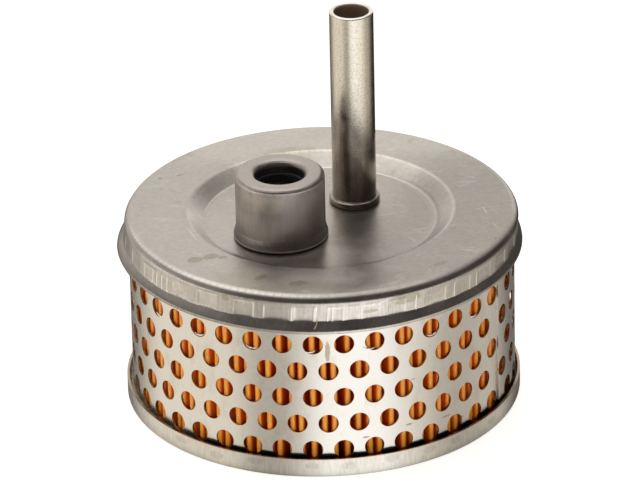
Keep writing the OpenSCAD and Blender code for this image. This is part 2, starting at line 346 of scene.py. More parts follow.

# %% [markdown]
# ## Pressed steel of the caps
# The caps are stamped from dull plated sheet. Near by such sheet is not one grey: the
# plating is cloudy, a fine grain breaks every reflection, oil has dried on it in faint
# brown islands, and it is scratched. The finish is built from those parts, each at its own
# scale, and the caps share it with different amounts of dirt.

# %% Stains and scratches, one by one
def mark(where, centre, along, length, width, ragged=0.9, grain=1.2, solid=0.65):
    """A stain or scratch round a point: 1 inside and 0 outside, with a ragged edge."""
    off = vec("SUBTRACT", where, centre)
    run = gauge("DOT_PRODUCT", off, Vector(along).normalized())
    far = gauge("LENGTH", off)
    square = times(run, run)
    beside = minus(times(far, far), square)
    shape = plus(times(square, 4 / length ** 2), times(beside, 4 / width ** 2))
    torn = times(minus(noise(where, grain, 4, 0.6), 0.5), ragged * 2)
    return ramp(plus(shape, torn), 1.8 - solid, solid)


def marks(where, spots, **edge):
    """The largest of several marks: one mask for all stains of a colour."""
    total = 0.0
    for spot in spots:
        total = calc("MAXIMUM", total, mark(where, *spot, **edge))
    return total


def on_flat(height, *rows):
    """Marks on a level face: x, y, direction in x and y, length and width of each."""
    return [((x, y, height), (along_x, along_y, 0), length, width)
            for x, y, along_x, along_y, length, width in rows]


def on_wall(radius, azimuth, height, length, width, upright=False):
    """A mark on an upright wall, placed by its azimuth from the front and its height."""
    turn = math.radians(azimuth)
    along = (0, 0, 1) if upright else (math.cos(turn), math.sin(turn), 0)
    return (radius * math.sin(turn), -radius * math.cos(turn), height), along, length, width


def hairlines(where, turn, seed, thin, share):
    """Fine scratches: thin level lines of a soft noise that is drawn out one way."""
    laid = put("ShaderNodeMapping",
               {"Vector": where, "Location": (seed * 17.3, seed * 9.1, 0),
                "Rotation": (0, 0, math.radians(turn)), "Scale": (16.0, 1.6, 3.0)},
               vector_type="TEXTURE").outputs[0]
    level = calc("ABSOLUTE", minus(noise(laid, 1.0, 1, 0.3), 0.5))
    patch = noise(vec("ADD", where, (seed * 31.0, seed * 7.0, 0)), 0.14, 2)
    return times(ramp(level, thin, 0.0), ramp(patch, share, share + 0.08))


# %% Cloudy sheet steel
def sheet_steel(name, colour, rough, cloud=0.10, grain=0.07, dirt=0.25):
    """Plated sheet: clouds, grain and dried oil. Returns what a caller may add to."""
    material, surface = finish_tree(name)
    where, x, y, z = millimetres()
    clouds = noise(where, 0.16, 3, 0.55)
    fine = noise(where, 5.0, 2, 0.6)
    drawn = streaky(where, (0.35, 5.0, 0.35), 2, 0.5)
    tone = plus(1 - cloud / 2 - grain / 2, times(clouds, cloud), times(fine, grain))
    tone = times(tone, ramp(drawn, 0.2, 0.8, 0.985, 1.015))
    shaded = scaled(colour, tone)
    islands = ramp(noise(where, 0.33, 5, 0.62), 0.60, 0.72)
    specks = ramp(noise(where, 1.6, 2, 0.5), 0.72, 0.78)
    for mask, shares in ((islands, (0.66, 0.62, 0.50)), (specks, (0.45, 0.40, 0.33))):
        darker = (*(part * share for part, share in zip(colour, shares)), 1)
        shaded = overlaid(shaded, (mask, dirt, darker))
    wire(surface, Metallic=1.0, Base_Color=shaded,
         Roughness=ramp(clouds, 0.3, 0.7, rough - 0.03, rough + 0.04),
         Normal=bumps(plus(fine, times(drawn, 0.6)), 0.006))
    return material, surface, (where, x, y, z), shaded


# %% [markdown]
# ## Marks on both caps
# The stains, dots and scratches that the photograph shows are placed one by one. The rest is
# by region and is painted light and shade: painted shade over the front and the right of the
# top cap's flat and on both sides of the skirt, and painted light on the flat's back, on the
# right part of the well's slope and on the well's floor in front of the boss. A number on each
# point of the sheet, called wear_and_painted_light, adds polished edges, painted highlights
# and painted shade with dirt in the creases; the crimped cap below carries it.

# %% Marks on the top cap
cap_finish, surface, (where, x, y, z), cap_colour = sheet_steel(
    "cap_sheet", (0.425, 0.398, 0.362, 1), 0.33, cloud=0.13, grain=0.12, dirt=0.32)
dress(nodes["top_cap"], cap_finish)
OLIVE, DARK, BRIGHT = (0.235, 0.215, 0.15, 1), (0.13, 0.105, 0.09, 1), (0.78, 0.76, 0.72, 1)
olive = marks(where, on_flat(
    TOP, (-26.1, -23.2, 1, 0.35, 3.4, 2.6), (-23.0, -22.0, 1, 0.2, 3.6, 2.4),
    (-20.4, -22.4, 1, 0.3, 2.2, 1.4), (-12.5, -31.9, 1, 1, 3.4, 1.8),
    (-4.9, -35.0, 1, 0.1, 4.2, 2.2), (24.5, -27.5, 1, 0.8, 4.0, 1.6))
    + [on_wall(SKIRT_R, 24.2, 39.3, 7.2, 2.6), on_wall(SKIRT_R, 13.6, 37.8, 3.6, 0.8),
       on_wall(SKIRT_R, -28.6, 39.6, 1.6, 1.8)])
tarnish = marks(where, on_flat(40.9, (-6.5, 27.6, 1, 0.2, 13.0, 4.5)) + on_flat(
    TOP, (-14.5, -33.5, 1, -0.5, 16, 9), (-2.0, -36.0, 1, 0.1, 12, 5),
    (-30, 27, 1, 0.8, 9, 4)), ragged=1.5, grain=0.5, solid=0.1)
dots = marks(where, on_flat(FLOOR, (5.7, -6.6, 1, 0, 0.7, 0.5)) + on_flat(
    TOP, (-34.0, 15.9, 1, 0, 0.7, 0.6), (-29.7, 17.2, 1, 0.4, 1.8, 0.4),
    (-31.9, 25.0, 1, 0.8, 2.4, 0.6), (36.4, -16.0, 1, 0.6, 0.9, 0.5)), ragged=0.8, grain=3.0)
gold = marks(where, on_flat(39.4, (12.0, -23.6, 0.9, 0.43, 9.0, 0.5),
                            (18.2, -18.4, 0.7, 0.7, 6.0, 0.4)), ragged=1.0, grain=2.0)
cuts = marks(where, on_flat(
    TOP, (-34.2, -3.6, 1, -0.1, 9.0, 0.22), (-33.0, -4.6, 1, 0.05, 7.0, 0.16),
    (-30.2, 2.2, 1, -0.2, 5.0, 0.2), (-26.8, -11.4, 0.4, -1, 6.5, 0.2),
    (34.6, -3.0, 0.25, -1, 4.0, 0.25), (36.8, -10.8, 0.45, -1, 6.0, 0.28),
    (35.4, -9.4, 1, 0.4, 3.6, 0.18), (30.8, -21.4, 1, -0.15, 4.4, 0.24),
    (34.9, -6.6, 1, -0.7, 3.0, 0.16), (20.5, 21.5, 1, -0.3, 3.0, 0.2))
    + on_flat(FLOOR, (13.4, 0.8, 1, 0.35, 6.0, 0.16), (15.8, 5.4, 1, -0.5, 3.4, 0.14)),
    ragged=0.7, grain=1.6)
lines = 0.0
for kind in ((20, 1, 0.02, 0.50), (-50, 2, 0.014, 0.53), (80, 3, 0.012, 0.55)):
    lines = calc("MAXIMUM", lines, hairlines(where, *kind))

# %% Regions of the top cap
SOFT = {"ragged": 0.15, "grain": 0.08, "solid": 0.3}
from_axis = gauge("LENGTH", vec("MULTIPLY", where, (1, 1, 0)))
on_skirt = ramp(from_axis, 41.0, 41.4)
# Painted light on the right part of the well's slope, painted shade on both sides of the skirt.
lit_right_slope = times(band(from_axis, 24.7, 25.6, 27.6, 28.9), ramp(x, 13, 22), ramp(y, -17, -6))
skirt_side_shade = times(calc("MAXIMUM", ramp(x, -8, -20), ramp(x, 30, 37)), on_skirt)
# Painted shade over the front and the right of the flat, painted light on its back and on the
# well's floor in front of the boss.
flat_front_shade = marks(where, on_flat(TOP, (0, -39, 1, 0, 40, 8), (31, -10, 0.2, 1, 74, 44),
                            (15, -35, 1, 0.42, 26, 11)), **SOFT)
flat_front_shade = times(flat_front_shade, minus(1.0, on_skirt))
flat_back_light = mark(where, (-4, 35, TOP), (1, 0, 0), 86, 26, **SOFT)
floor_light = mark(where, (-1, -18.5, FLOOR), (1, 0.1, 0), 26, 10, **SOFT)
streaks = times(on_skirt, minus(streaky(where, (2.6, 2.6, 0.16), 3, 0.65), 0.5))
mottled = noise(where, 0.9, 5, 0.72)
shaded = scaled(cap_colour, ramp(streaks, -0.25, 0.25, 0.86, 1.10))
shaded = scaled(shaded, ramp(mottled, 0.3, 0.7, 0.925, 1.06))
shaded = scaled(shaded, plus(1.0, times(flat_back_light, 0.18), times(flat_front_shade, -0.24)))
for mask, share in ((lit_right_slope, 0.36), (skirt_side_shade, -0.18), (floor_light, 0.38)):
    shaded = lighter(shaded, mask, share)
shaded = overlaid(shaded, (tarnish, 0.40, (0.30, 0.27, 0.19, 1)), (olive, 0.62, OLIVE),
                 (dots, 0.75, DARK), (gold, 0.7, (0.42, 0.24, 0.08, 1)),
                 (lines, 0.17, BRIGHT), (cuts, 0.42, BRIGHT))
# The crimped cap's value: polished edges and painted highlights above 0, painted shade and dirt
# below 0.
tone_shift = put("ShaderNodeAttribute", attribute_name="wear_and_painted_light").outputs["Fac"]
rubbed_and_highlit = calc("MAXIMUM", tone_shift, 0.0)
dirt_and_shade = calc("MAXIMUM", times(tone_shift, -1.0), 0.0)
shaded = overlaid(shaded, (rubbed_and_highlit, 1.0, (0.86, 0.84, 0.79, 1)),
                 (dirt_and_shade, 1.0, (0.12, 0.10, 0.085, 1)))
# Metal polished by rubbing scatters more, so where the value is above 0, with its painted
# highlights, it counts as less metallic here.
wire(surface, Base_Color=shaded, Metallic=ramp(tone_shift, 0.05, 0.8, 1.0, 0.35))
print("nodes in the cap's finish:", len(tree.nodes))

# %% Marks on the bottom cap
base_finish, surface, (where, x, y, z), base_colour = sheet_steel(
    "base_sheet", (0.46, 0.435, 0.39, 1), 0.32, cloud=0.16, dirt=0.4)
dress(nodes["bottom_cap"], base_finish)
brushed = streaky(where, (3.4, 3.4, 0.3), 3, 0.6)
smudged = marks(where, [on_wall(RIM_R, *spot, 3.4, 1.7) for spot in (
    (-46, 2.9), (-33, 2.4), (-20.4, 3.0), (-3.6, 2.8), (6.6, 2.6), (19.2, 3.0), (31.3, 2.9),
    (40.6, 2.8), (57, 2.5))], ragged=1.4, grain=0.9)
smudged = times(smudged, ramp(brushed, 0.38, 0.58))
edge = ramp(plus(z, times(noise(where, 0.8, 3), 0.25)), 4.15, 4.35)
shaded = scaled(base_colour, ramp(brushed, 0.25, 0.75, 0.86, 1.10))
wire(surface, Base_Color=overlaid(shaded, (smudged, 0.40, (0.19, 0.175, 0.15, 1)),
                                 (edge, 0.6, (0.36, 0.24, 0.15, 1))))

# %% [markdown]
# ## Tinned guard
# The guard is rolled from tin plate, brighter than the caps. Tin is soft and takes a fine
# mottle and faint rolling lines that run round the sheet. Round its foot lies a band of
# painted shade, near black, for the dark gap below, but for the far left.

# %% Tin plate
TIN = (0.49, 0.468, 0.43, 1)
GAP_SHADE = (0.012, 0.010, 0.008, 1)
tin_finish, surface = finish_tree("tin_plate")
where, x, y, z = millimetres()
mottle = noise(where, 0.8, 4, 0.6)
fine = noise(where, 7.0, 2, 0.5)
rolled = streaky(where, (0.12, 0.12, 6.0), 2, 0.5)
smear = ramp(streaky(where, (0.22, 0.22, 0.12), 4, 0.62), 0.50, 0.70)
specks = ramp(noise(where, 1.1, 5, 0.7), 0.70, 0.78)
drips = marks(where, [on_wall(GUARD_R, *spot) for spot in (
    (1.2, 28.6, 4.6, 1.1, True), (27.0, 19.7, 1.0, 0.35), (25.4, 9.4, 1.6, 0.5),
    (38.4, 8.5, 2.6, 0.35), (52.3, 6.0, 3.0, 0.5), (12.0, 8.2, 1.6, 0.5),
    (48.5, 12.4, 1.2, 0.5), (44.0, 6.6, 2.4, 0.4))], ragged=1.1, grain=2.2)
# Painted shade: a near black band round the foot, for the dark gap below, but for the far left.
foot = minus(z, times(noise(where, 0.35, 3), 0.9))
foot_shade = times(ramp(foot, 4.75, 4.45), ramp(x, -34, -20))
tone = plus(0.90, times(mottle, 0.12), times(fine, 0.06))
shaded = overlaid(scaled(TIN, tone), (smear, 0.30, (0.34, 0.27, 0.19, 1)),
                 (specks, 0.6, (0.16, 0.11, 0.07, 1)), (drips, 0.7, (0.20, 0.15, 0.10, 1)),
                 (foot_shade, 0.93, GAP_SHADE))
wire(surface, Metallic=1.0, Base_Color=shaded, Roughness=ramp(mottle, 0.3, 0.7, 0.25, 0.32),
     Normal=bumps(plus(rolled, fine), 0.005))
dress(nodes["outer_guard"], tin_finish)

# %% [markdown]
# ## Drawn boss and pipe
# Both were drawn through a die, which leaves fine lines along the draw. The boss is darker
# and duller, with a pitted ring under its top bend, painted shade towards its foot and a
# painted highlight along its foot edge. The pipe is semi-bright and freckled, with brown
# stains on its lower half and a dull brown bore; painted shade darkens its foot and its
# right side, and a painted highlight lies on its top rim.

# %% Drawn steel
def drawn_steel(name, colour, rough, centre, lines):
    """Steel with lines along Z round its own centre. Returns what a caller may add to."""
    material, surface = finish_tree(name)
    where, x, y, z = millimetres()
    line = streaky(vec("SUBTRACT", where, (*centre, 0)), (3.2, 3.2, 0.10), 3, 0.6)
    cloud = noise(where, 0.35, 4, 0.6)
    fine = noise(where, 6.0, 2, 0.6)
    tone = plus(1 - lines, times(line, lines * 1.2), times(minus(cloud, 0.5), 0.22),
                times(minus(fine, 0.5), 0.12))
    wire(surface, Metallic=1.0, Roughness=ramp(cloud, 0.3, 0.7, rough - 0.04, rough + 0.05),
         Normal=bumps(plus(line, times(fine, 0.8)), 0.012))
    return material, surface, (where, x, y, z), scaled(colour, tone)


DIRTY_JOINT = (0.03, 0.026, 0.022, 1)   # the dark line at each foot
boss_finish, surface, (where, x, y, z), shaded = drawn_steel(
    "boss_drawn", (0.44, 0.40, 0.372, 1), 0.38, BOSS_AT, 0.34)
# Painted shade: darker towards the foot, where the wall mirrors the shaded well.
shaded = scaled(shaded, ramp(z, 40.2, 46.5, 0.56, 1.0))
pitted = times(band(z, 51.6, 52.3, 52.9, 53.3), ramp(noise(where, 2.4, 4, 0.7), 0.50, 0.62))
oil = marks(where, on_flat(50.6, (-10.5, -16.6, 1, 0, 6.5, 4.0))
            + on_flat(49.8, (-14.8, -13.8, 0.6, -0.6, 5.0, 3.4)), ragged=1.2, grain=0.6)
freckles = times(ramp(noise(where, 2.8, 4, 0.7), 0.52, 0.64), ramp(z, 52.6, 53.2))
# A painted highlight: a thin bright line along the edge of the boss's foot.
flange_highlight = band(z, 39.92, 40.02, 40.22, 40.34)
shaded = overlaid(shaded, (pitted, 0.5, (0.16, 0.125, 0.09, 1)),
                 (oil, 0.22, (0.55, 0.51, 0.38, 1)), (freckles, 0.28, (0.20, 0.155, 0.105, 1)),
                 (flange_highlight, 0.75, (0.78, 0.73, 0.67, 1)),
                 (ramp(z, 39.92, 39.72), 1.0, DIRTY_JOINT))
wire(surface, Base_Color=shaded)
dress(nodes["inlet_boss"], boss_finish)

pipe_finish, surface, (where, x, y, z), shaded = drawn_steel(
    "pipe_drawn", (0.49, 0.452, 0.395, 1), 0.22, PIPE_AT, 0.14)
patch = times(ramp(streaky(where, (0.5, 0.5, 0.16), 5, 0.65), 0.40, 0.76),
              ramp(z, 44, 66, 1.0, 0.0))
off_centre = vec("MULTIPLY", vec("SUBTRACT", where, (*PIPE_AT, 0)), (1, 1, 0))
bore = ramp(gauge("LENGTH", off_centre), 3.9, 3.8)
freckles = ramp(noise(where, 2.9, 4, 0.75), 0.49, 0.61)
# Painted shade: the right side is darker below about 60 mm.
painted_side_shade = times(ramp(minus(x, times(z, 0.05)), 6.2, 8.0), ramp(z, 65, 55))
shaded = overlaid(shaded, (patch, 0.55, (0.24, 0.19, 0.10, 1)),
                 (bore, 1.0, (0.40, 0.30, 0.22, 1)), (freckles, 0.42, (0.26, 0.19, 0.105, 1)))
# A painted highlight on the top rim.
shaded = overlaid(scaled(shaded, 1.05), (ramp(z, 83.05, 83.2), 0.75, (0.88, 0.86, 0.80, 1)))
# Painted shade: darker towards the foot, where the wall mirrors the well.
shaded = scaled(shaded, ramp(z, 39.6, 46, 0.72, 1.0))
shaded = overlaid(lighter(shaded, painted_side_shade, -0.42), (ramp(z, 39.75, 39.6), 1.0, DIRTY_JOINT))
wire(surface, Base_Color=shaded, Metallic=minus(1.0, times(bore, 0.65)))
dress(nodes["stand_pipe"], pipe_finish)
inner_finish = sheet_steel("inner_sheet", (0.55, 0.53, 0.48, 1), 0.4)[0]
for name in ("centre_tube", "seal_retainer", "media_seam_clip"):
    dress(nodes[name], inner_finish)

# %% [markdown]
# ## Crimped top cap
# On the real cap a ring of crimping fingers pressed the skirt onto the guard. Each left a
# flat pad with a creased upper edge, and a sharp ridge stands between some of them. The
# solid cap is a plain turned sheet, so a finer one takes its place here. It is turned from
# nearly the same corners, but the angles are packed closer at the edges of the pads, and
# every point of the skirt is pushed in or out by the pad that it lies on.

# %% Corners of the cap's sheet, in millimetres
CAP_SHEET = 0.5                         # thickness
BEND_STEP = math.radians(8)             # largest turn between two points of a bend
# Radius, height and bend radius at each corner, from the lip to the well's floor
CAP_LINE = [(42.58, 34.4, 0), (41.28, 36.2, 1.0), (41.28, 41.65, 1.6), (28.2, 41.65, 1.5),
            (24.95, 39.42, 0.45), (24.45, 39.36, 0.25), (24.1, 39.25, 0.35), (22.6, 39.25, 0)]


def bend_points(a, b, c, radius):
    """Points of the round bend that replaces corner b between a and c."""
    a, b, c = Vector(a), Vector(b), Vector(c)
    u, w = (a - b).normalized(), (c - b).normalized()
    half = math.acos(u.dot(w)) / 2
    centre = b + (u + w).normalized() * radius / math.sin(half)
    start, stop = b + u * radius / math.tan(half), b + w * radius / math.tan(half)
    first = math.atan2(*(start - centre).yx)
    turned = (math.atan2(*(stop - centre).yx) - first + math.pi) % (2 * math.pi) - math.pi
    count = max(2, math.ceil(abs(turned) / BEND_STEP))
    return [centre + Vector((math.cos(first + turned * i / count),
                             math.sin(first + turned * i / count))) * radius
            for i in range(count + 1)]


def sheet_line(corners, longest):
    """The middle line of a sheet, with bends, cut into stretches up to longest(point)."""
    line = [Vector(corners[0][:2])]
    for before, at, after in zip(corners, corners[1:], corners[2:]):
        line += bend_points(before[:2], at[:2], after[:2], at[2])
    line.append(Vector(corners[-1][:2]))
    cut = [line[0]]
    for a, b in zip(line, line[1:]):
        parts = max(1, math.ceil((b - a).length / longest((a + b) / 2)))
        cut += [a.lerp(b, (i + 1) / parts) for i in range(parts)]
    return cut


def heading(line, i):
    """The direction of a line at its point i."""
    return (line[min(i + 1, len(line) - 1)] - line[max(i - 1, 0)]).normalized()


def both_sides(line, thickness):
    """The two faces of the sheet, as two lines."""
    outer, inner = [], []
    for i, p in enumerate(line):
        along = heading(line, i)
        normal = Vector((along.y, -along.x)) * thickness / 2
        outer.append(p + normal)
        inner.append(p - normal)
    return outer, inner


def cap_stretch(point):
    """The longest stretch allowed at a point: short on the skirt, shortest at the pads' tops."""
    if point.x < 41:
        return 2.2
    return 0.2 if 39.0 < point.y < 40.3 else 0.5


cap_line = sheet_line(CAP_LINE, cap_stretch)
cap_outer, cap_inner = both_sides(cap_line, CAP_SHEET)
print("points along the cap's sheet:", len(cap_line))

# %% Where the fingers pressed
dice = random.Random(11)
# Azimuth and width in degrees, depth and height of the upper edge in millimetres
PADS = [(-45.2, 7.4, 0.13, 39.6), (-35.0, 6.3, 0.12, 39.7), (-23.1, 6.2, 0.13, 39.7),
        (-13.3, 7.6, 0.12, 39.6), (-5.4, 5.8, 0.11, 39.5), (3.4, 4.2, 0.05, 39.3),
        (8.6, 3.6, 0.05, 39.4), (14.0, 4.8, 0.05, 39.3), (21.5, 5.6, 0.06, 39.4),
        (34.0, 7.4, 0.05, 39.6), (44.5, 4.6, 0.06, 39.7)]
spot = 54.0
while spot < 308:
    PADS.append((spot, dice.uniform(5.4, 7.6), dice.uniform(0.05, 0.12), dice.uniform(39.3, 39.7)))
    spot += dice.uniform(8.6, 10.8)
RIDGES = [-58.0, -55.5, -53.0, -50.6, -8.9, -2.4, -2.0, 1.4, 2.7, 5.9, 11.2, 27.6, 41.0, 47.3,
          50.3]
RIDGE_HALF = 0.3                        # half a ridge's width, degrees


def azimuth_gap(a, b):
    """The signed angle from b to a, in degrees."""
    return (a - b + 180) % 360 - 180


def rise(value, low, high):
    """A smooth step from 0 to 1."""
    t = min(1.0, max(0.0, (value - low) / (high - low)))
    return t * t * (3 - 2 * t)


def between(value, rise_from, rise_to, fall_from, fall_to):
    """1 between rise_to and fall_from, with a smooth step on either side."""
    return rise(value, rise_from, rise_to) * (1 - rise(value, fall_from, fall_to))


def peak(value, at, half_width):
    """1 at one value, falling to 0 at half_width from it."""
    return max(0.0, 1 - abs(value - at) / half_width)


def pressed(azimuth, z):
    """How far the skirt lies outside its plain radius, in millimetres."""
    push = 0.0
    for centre, width, depth, top in PADS:
        gap = azimuth_gap(azimuth, centre)
        if abs(gap) < width / 2:
            flat = SKIRT_R * (math.cos(math.radians(gap)) - math.cos(math.radians(width / 2)))
            edge = 1 - rise(abs(gap), width / 2 - 0.35, width / 2)
            push -= (depth * edge + flat) * between(z, 36.2, 37.0, top - 0.22, top + 0.05)
    for ridge in RIDGES:
        push += (0.07 * peak(azimuth_gap(azimuth, ridge), 0, RIDGE_HALF)
                 * between(z, 36.0, 36.6, 39.2, 39.8))
    return push


def slope_light_and_shade(azimuth, r, broken):
    """Painted light and shade at the foot and the top of the well's slope: painted highlight
    lines at the back right, and painted shade at the foot in front."""
    lit = between(azimuth % 360, 40, 75, 205, 235)
    foot = peak(r, 25.25, 0.3) + 0.6 * peak(r, 24.25, 0.25)
    edge = peak(r, 28.1, 0.5) * 0.45 * broken
    dark = 0.45 * min(1.0, foot) * between(azimuth, -35, -10, 38, 52)
    return (foot * 0.62 + edge) * lit - dark


def pad_light_and_shade(azimuth, z, number, centre, width, top):
    """Painted light on one pad's upright edges, upper edge and face, with painted shadow and dirt
    in the crease above.
    """
    gap = abs(azimuth_gap(azimuth, centre))
    if gap > width / 2 + 0.5 or not 36.3 < z < top + 0.7:
        return 0.0
    value = 0.0
    if z < top:
        strong = 0.03 + 0.24 * ((number * 7) % 5) / 4       # it differs from pad to pad
        dashed = 0.45 + 0.55 * math.sin(z * 2.1 + number) ** 2
        value += peak(gap, width / 2, 0.25) * strong * dashed
    if gap < width / 2:
        dash = 0.5 + 0.5 * math.sin(azimuth * 9 + number) * math.sin(azimuth * 4.3)
        value += peak(z, top - 0.12, 0.2) * (0.03 + 0.30 * dash)
        value -= peak(z, top + 0.25, 0.25) * 0.45
        if z < top and centre < 0:
            value += 0.10 * dash * rise(z, 36.8, 37.6)
    return value


def wear_and_painted_light(azimuth, r, z):
    """Painted highlights and polished lines (above 0), painted shade and dirt (below 0), round
    pads and edges.
    """
    broken = 0.5 + 0.5 * math.sin(azimuth * 5.1) * math.sin(azimuth * 2.3 + 1)
    if r < 39.5:
        return slope_light_and_shade(azimuth, r, broken)
    # Painted shade in front: a dark band under the shoulder and at the top of the skirt.
    front_band_shade = 0.30 * between(azimuth, -50, -20, 50, 75)
    # The shoulder gets a painted highlight line on the left and in front, where the sheet is also
    # polished by rubbing.
    if z > 40.8:                        # the shoulder, rubbed on the left and in front
        line = peak(z, 41.66, 0.24) * (0.30 + 0.55 * broken)
        return line * between(azimuth, -92, -70, -18, 12) - front_band_shade * peak(z, 41.1, 0.4)
    # Painted shade on the lip, stronger and higher on the left.
    left = between(-azimuth, 15, 40, 95, 130)
    lip_shade = (0.20 + 0.40 * left) * (1 - rise(z, 34.6, 35.3 + 0.6 * left))
    value = -lip_shade * (0.75 + 0.25 * broken) - front_band_shade * rise(z, 39.9, 40.3)
    for number, (centre, width, _, top) in enumerate(PADS):
        value += pad_light_and_shade(azimuth, z, number, centre, width, top)
    # Painted highlights on the ridges.
    if 36.3 < z < 39.6:
        value += sum(0.7 * peak(azimuth_gap(azimuth, ridge), 0, RIDGE_HALF) for ridge in RIDGES)
    return max(-0.6, min(0.85, value))


def flare(azimuth):
    """The lip was bent further out on the left than on the right, and it waves a little."""
    turn = math.radians(azimuth)
    return (-0.19 * math.sin(turn) + 0.05 * math.sin(3 * turn + 1) + 0.035 * math.sin(7 * turn)
            + 0.02 * math.sin(17 * turn + 2))


# %% Angles round the cap, closer in front and closest at the pads' edges
angles = {round(i * 0.5 - 100, 3) for i in range(401)}
angles |= {round(100.8 + i * 0.8, 3) for i in range(199)}
angles = {a if a < 180 else round(a - 360, 3) for a in angles}
for centre, width, *_ in PADS:
    for side in (-1, 1):
        angles |= {round(azimuth_gap(centre + side * (width / 2 - d), 0), 3)
                   for d in (0, 0.15, 0.35)}
for ridge in RIDGES:
    angles |= {round(ridge + d, 3) for d in (-0.3, -0.15, 0, 0.15, 0.3)}
angles = sorted(a for a in angles if -180 <= a < 180)
kept = [angles[0]]
for angle in angles[1:]:
    if angle - kept[-1] > 0.06:         # closer ones would make slivers
        kept.append(angle)
angles = kept
print("pads:", len(PADS), "angles round the cap:", len(angles))


# %% Turn the cap
def cap_point(point, azimuth):
    """A point of the cap's section at one azimuth, pushed by pads and flare, in metres."""
    r, z = point
    turn = math.radians(azimuth)
    if r > 40.7 and z < 41.2:
        r += pressed(azimuth, z)
        r += flare(azimuth) * (1 - rise(z, 34.2, 36.6))
    r += 0.02 * math.sin(2 * turn + 0.6) * rise(r, 30, 40)
    z += 0.05 * math.sin(2 * turn + 0.5) * rise(r, 29, 36) * (1 - rise(r, 38.5, 40.5))
    z -= 0.20 * (max(0.0, r - 29) / 12) ** 2 * rise(z, 40.0, 41.0)      # a crowned flat
    if r > 40.7:                        # the lip hangs a little lower in front
        z -= 0.5 * (1 - rise(z, 34.2, 36.2)) * max(0.0, math.cos(turn)) ** 2
    lean = 0.22 * rise(z, 36.5, 41) * rise(r, 29, 40)
    return ((r * math.sin(turn) + lean) * MM, -r * math.cos(turn) * MM, z * MM)


section = cap_outer + cap_inner[::-1]   # the last point meets the first
rows, cols = len(angles), len(section)
points = [cap_point(p, a) for a in angles for p in section]
pairs = [(i * cols, (i + 1) % rows * cols) for i in range(rows)]
faces = [(a + j, b + j, b + j + 1, a + j + 1)
         for a, b in pairs for j in range(cols - 1) if j != len(cap_outer) - 1]
faces += [(a, a + cols - 1, b + cols - 1, b) for a, b in pairs]
faces.append([i * cols + len(cap_outer) - 1 for i in range(rows)])
faces.append([i * cols + len(cap_outer) for i in reversed(range(rows))])
cap_mesh = bpy.data.meshes.new("crimped_cap")
cap_mesh.from_pydata(points, [], faces)
cap_mesh.attributes.new("wear_and_painted_light", "FLOAT", "POINT").data.foreach_set(
    "value", [wear_and_painted_light(a, *p) for a in angles for p in section])


def keep_closed(work, mesh):
    """Writes the work to a mesh, with every face of its closed shells turned outwards."""
    bmesh.ops.recalc_face_normals(work, faces=work.faces)
    work.to_mesh(mesh)
    work.free()
    return mesh


work = bmesh.new()
work.from_mesh(cap_mesh)
cap = add_object("crimped_cap", keep_closed(work, cap_mesh))


# %% Cut the two openings in the floor
def drill(piece, centre, radius, low, high):
    """Cuts a round hole along Z through a piece."""
    place = (centre[0] * MM, centre[1] * MM, (low + high) / 2 * MM)
    bpy.ops.mesh.primitive_cylinder_add(vertices=96, radius=radius * MM,
                                        depth=(high - low) * MM, location=place)
    cutter = bpy.context.object
    cut = piece.modifiers.new("drill", "BOOLEAN")
    cut.object, cut.solver, cut.operation = cutter, "EXACT", "DIFFERENCE"
    graph = bpy.context.evaluated_depsgraph_get()
    fresh = bpy.data.meshes.new_from_object(piece.evaluated_get(graph))
    piece.modifiers.remove(cut)
    piece.data = fresh
    bpy.data.objects.remove(cutter)


drill(cap, BOSS_AT, 7.9, 37, 41)        # a little inside the boss's wall
drill(cap, PIPE_AT, 4.65, 37, 41)       # the pipe's outside
cap.data.shade_smooth()
for face in cap.data.polygons:          # the boolean leaves long slivers in the flat floor
    face.use_smooth = abs(face.normal.z) < 0.9995
cap.data.name = "crimped_cap"
dress(cap, cap_finish)
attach(cap, "root")
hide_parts("top_cap")
print("cap faces:", len(cap.data.polygons))

# %% [markdown]
# ## Burrs and a fibre
# The punch left a turned burr on the lower edge of some holes of the top row; its pale,
# half-metallic colour is a painted glint. Each is a small crescent that is thick in the middle
# and runs out at both ends. One textile fibre sticks to the lip. Both are thin tubes along a
# line.

# %% Tubes of changing thickness
TUBE_SIDES = 6


def bridge_rings(work, rings):
    """Faces between one ring of points and the next."""
    for a, b in zip(rings, rings[1:]):
        for k, (low, high) in enumerate(zip(a, b)):
            after = (k + 1) % len(a)
            work.faces.new((low, a[after], b[after], high))


def thin_tube(name, line, radii, finish):
    """A tube along a line of points in millimetres, with one radius for each point."""
    work = bmesh.new()
    rings = []
    for i, at in enumerate(line):
        along = heading(line, i)
        u = along.orthogonal().normalized()
        w = along.cross(u)
        rings.append([work.verts.new((at + (u * math.cos(a) + w * math.sin(a)) * radii[i]) * MM)
                      for a in (2 * math.pi * k / TUBE_SIDES for k in range(TUBE_SIDES))])
    bridge_rings(work, rings)
    for ring in (rings[0], rings[-1]):
        work.faces.new(ring)
    mesh = keep_closed(work, bpy.data.meshes.new(name))
    mesh.shade_smooth()
    piece = add_object(name, mesh)
    dress(piece, finish)
    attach(piece, "root")


